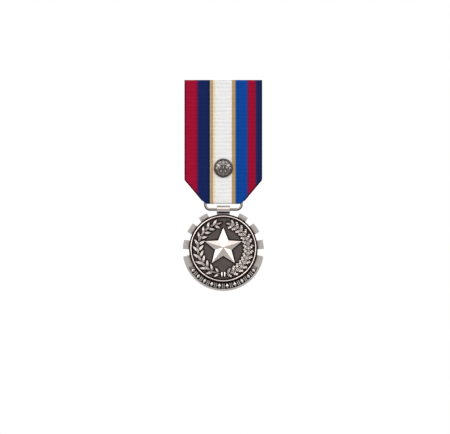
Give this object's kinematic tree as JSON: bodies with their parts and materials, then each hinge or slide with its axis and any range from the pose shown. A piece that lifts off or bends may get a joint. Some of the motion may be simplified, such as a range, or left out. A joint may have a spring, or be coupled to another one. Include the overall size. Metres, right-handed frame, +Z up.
{
  "type": "service medal",
  "caption": "Military service medal: striped ribbon with folded corners and a round device, hung by a wire link from a pin brooch, with a gear-edged disc bearing a star in a wreath.",
  "frame": {"origin": "middle of the brooch pin's shaft, behind the top of the ribbon", "axes": "+Z up along the hanging ribbon, -Y the medal's front, +X to the right seen from the front"},
  "size_m": [0.0386, 0.0074, 0.1004],
  "materials": {
    "silver_satin": "silver plated, satin",
    "silver_bright": "silver plated, polished",
    "silver_oxidised": "silver plated, oxidised dark",
    "silver_leaf": "silver plated, half oxidised",
    "silver_wire": "polished",
    "silver_device": "silver plated, burnished",
    "nickel_brooch": "nickel plated",
    "ribbon_cloth": "ribbed woven silk ribbon with lengthwise stripes"
  },
  "bodies": {
    "ribbon_assembly": {"ribbon": "ribbon_cloth", "device_badge": "silver_device", "device_prong_left": "silver_device", "device_prong_right": "silver_device", "brooch_plate": "nickel_brooch", "pin_joint_bracket": "nickel_brooch", "pin_rivet": "nickel_brooch", "catch_base": "nickel_brooch"},
    "link": {"hanger_link": "silver_wire"},
    "pendant": {"suspension_lug": "silver_satin", "gear_plate": "silver_satin", "medallion": "silver_oxidised", "star": "silver_bright", "laurel_branch": "silver_leaf", "oak_branch": "silver_leaf", "wreath_tie": "silver_bright"},
    "pin": {"brooch_pin": "silver_wire"},
    "lock": {"catch_lock": "silver_wire"}
  },
  "joints": [
    {"name": "link_swing", "type": "hinge", "parent": "ribbon_assembly", "child": "link", "pos_m": [0, -0.00235, -0.0539], "axis": [1, 0, 0], "range_deg": [-75, 75]},
    {"name": "medal_swing", "type": "hinge", "parent": "link", "child": "pendant", "pos_m": [0, -0.00235, -0.0576], "axis": [1, 0, 0], "range_deg": [-75, 75]},
    {"name": "pin_open", "type": "hinge", "parent": "ribbon_assembly", "child": "pin", "pos_m": [-0.012, 0, 0], "axis": [0, 0, 1], "range_deg": [0, 75]},
    {"name": "catch_turn", "type": "hinge", "parent": "ribbon_assembly", "child": "lock", "pos_m": [0.012, 0, 0], "axis": [1, 0, 0], "range_deg": [-106, 0]}
  ]
}
